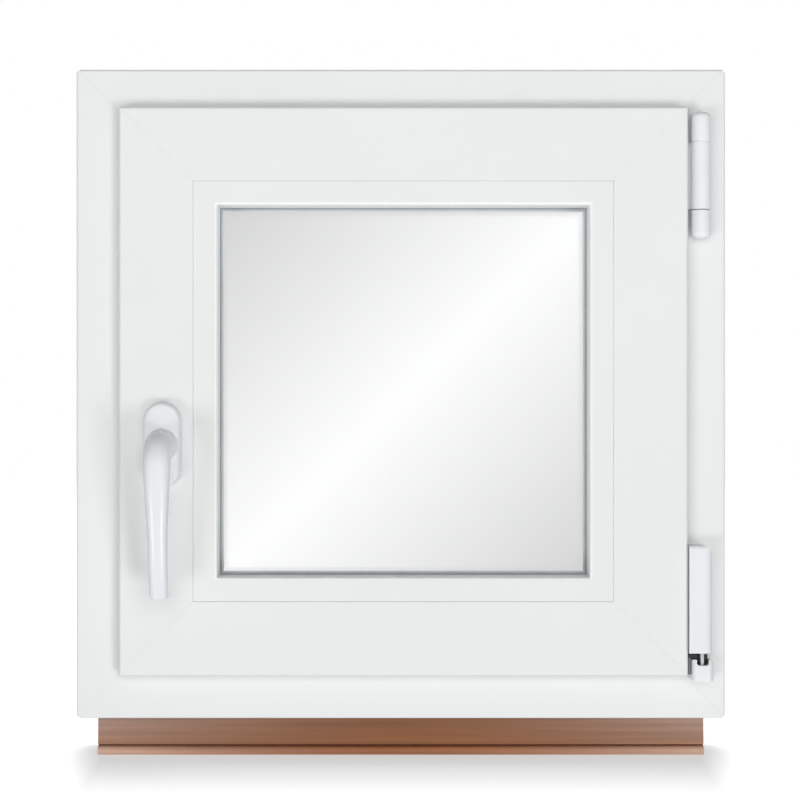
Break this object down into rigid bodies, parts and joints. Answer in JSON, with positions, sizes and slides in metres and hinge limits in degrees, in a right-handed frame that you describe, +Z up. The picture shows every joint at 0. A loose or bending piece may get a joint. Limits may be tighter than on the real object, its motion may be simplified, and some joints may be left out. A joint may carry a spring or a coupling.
{
  "type": "tilt-and-turn window",
  "caption": "Square white plastic window with double glazing, a lever handle, capped hinges on the opposite stile and a brown hollow sill profile under the frame.",
  "frame": {"origin": "on the sill profile's underside, midway along it and below the middle of the frame depth", "axes": "+X to the right seen from the room, +Y from the room outward through the wall, +Z up"},
  "size_m": [0.5, 0.1423, 0.53],
  "materials": {
    "white_profile": "satin",
    "grey_gasket": "matte",
    "clear_glass": "clear",
    "spacer_metal": "satin",
    "white_handle": "satin",
    "white_hinge_cap": "satin",
    "hinge_steel": "zinc plated",
    "brown_sill": "streaked",
    "white_trim": "satin"
  },
  "bodies": {
    "window": {"frame_head": "white_profile", "frame_sill": "white_profile", "frame_jamb_handle_side": "white_profile", "frame_jamb_hinge_side": "white_profile", "sash_top_rail": "white_profile", "sash_bottom_rail": "white_profile", "sash_handle_stile": "white_profile", "sash_hinge_stile": "white_profile", "glazing_bead_top": "white_profile", "glazing_bead_bottom": "white_profile", "glazing_bead_left": "white_profile", "glazing_bead_right": "white_profile", "glazing_gasket_inside": "grey_gasket", "glazing_gasket_outside": "grey_gasket", "frame_stop_seal": "grey_gasket", "sash_lip_seal": "grey_gasket", "inner_pane": "clear_glass", "outer_pane": "clear_glass", "glass_spacer": "spacer_metal", "handle_rosette": "white_handle", "upper_hinge_top_cap": "white_hinge_cap", "upper_hinge_sleeve": "white_hinge_cap", "upper_hinge_bottom_cap": "white_hinge_cap", "lower_hinge_cover": "white_hinge_cap", "lower_hinge_cup": "white_hinge_cap", "upper_hinge_pin": "hinge_steel", "upper_hinge_bracket": "hinge_steel", "lower_hinge_pin": "hinge_steel", "lower_hinge_corner_bracket": "hinge_steel", "sill_profile": "brown_sill", "drain_cap_left": "white_trim", "drain_cap_right": "white_trim"},
    "handle": {"handle_lever": "white_handle"}
  },
  "joints": [
    {"name": "handle_turn", "type": "hinge", "parent": "window", "child": "handle", "pos_m": [-0.182, -0.048, 0.241], "axis": [0, -1, 0], "range_deg": [0, 180]}
  ]
}
